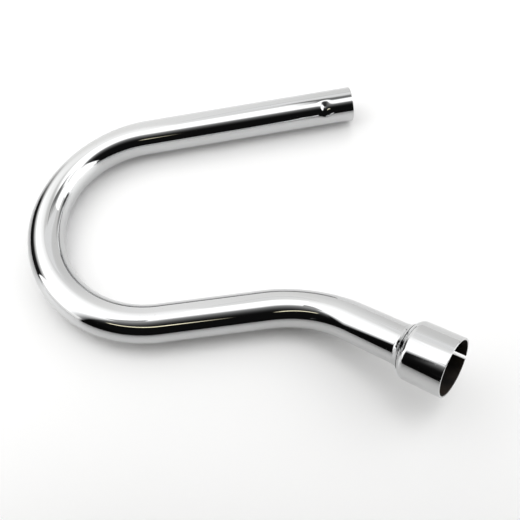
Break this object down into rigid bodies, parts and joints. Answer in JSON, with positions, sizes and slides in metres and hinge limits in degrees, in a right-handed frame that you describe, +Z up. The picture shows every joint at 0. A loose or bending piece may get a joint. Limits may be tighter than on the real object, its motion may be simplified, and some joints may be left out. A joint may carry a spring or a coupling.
{
  "type": "motorcycle exhaust header",
  "caption": "Chromed steel header tube bent into a hook, with a punched dimple at its plain end and a slotted clamp-on socket welded to its outlet.",
  "frame": {"origin": "centre of the plain end's face", "axes": "+X out of the plain end along the tube, +Z up with the return bend lying flat, -Y toward the bottom of the hook"},
  "size_m": [0.29, 0.2762, 0.0623],
  "materials": {
    "tube_chrome": "polished",
    "socket_chrome": "polished, plain and dull inside",
    "weld_chrome": "plated over a hammered weld"
  },
  "bodies": {
    "root": {"header_pipe": "tube_chrome", "socket": "socket_chrome", "weld_bead": "weld_chrome"}
  },
  "joints": []
}
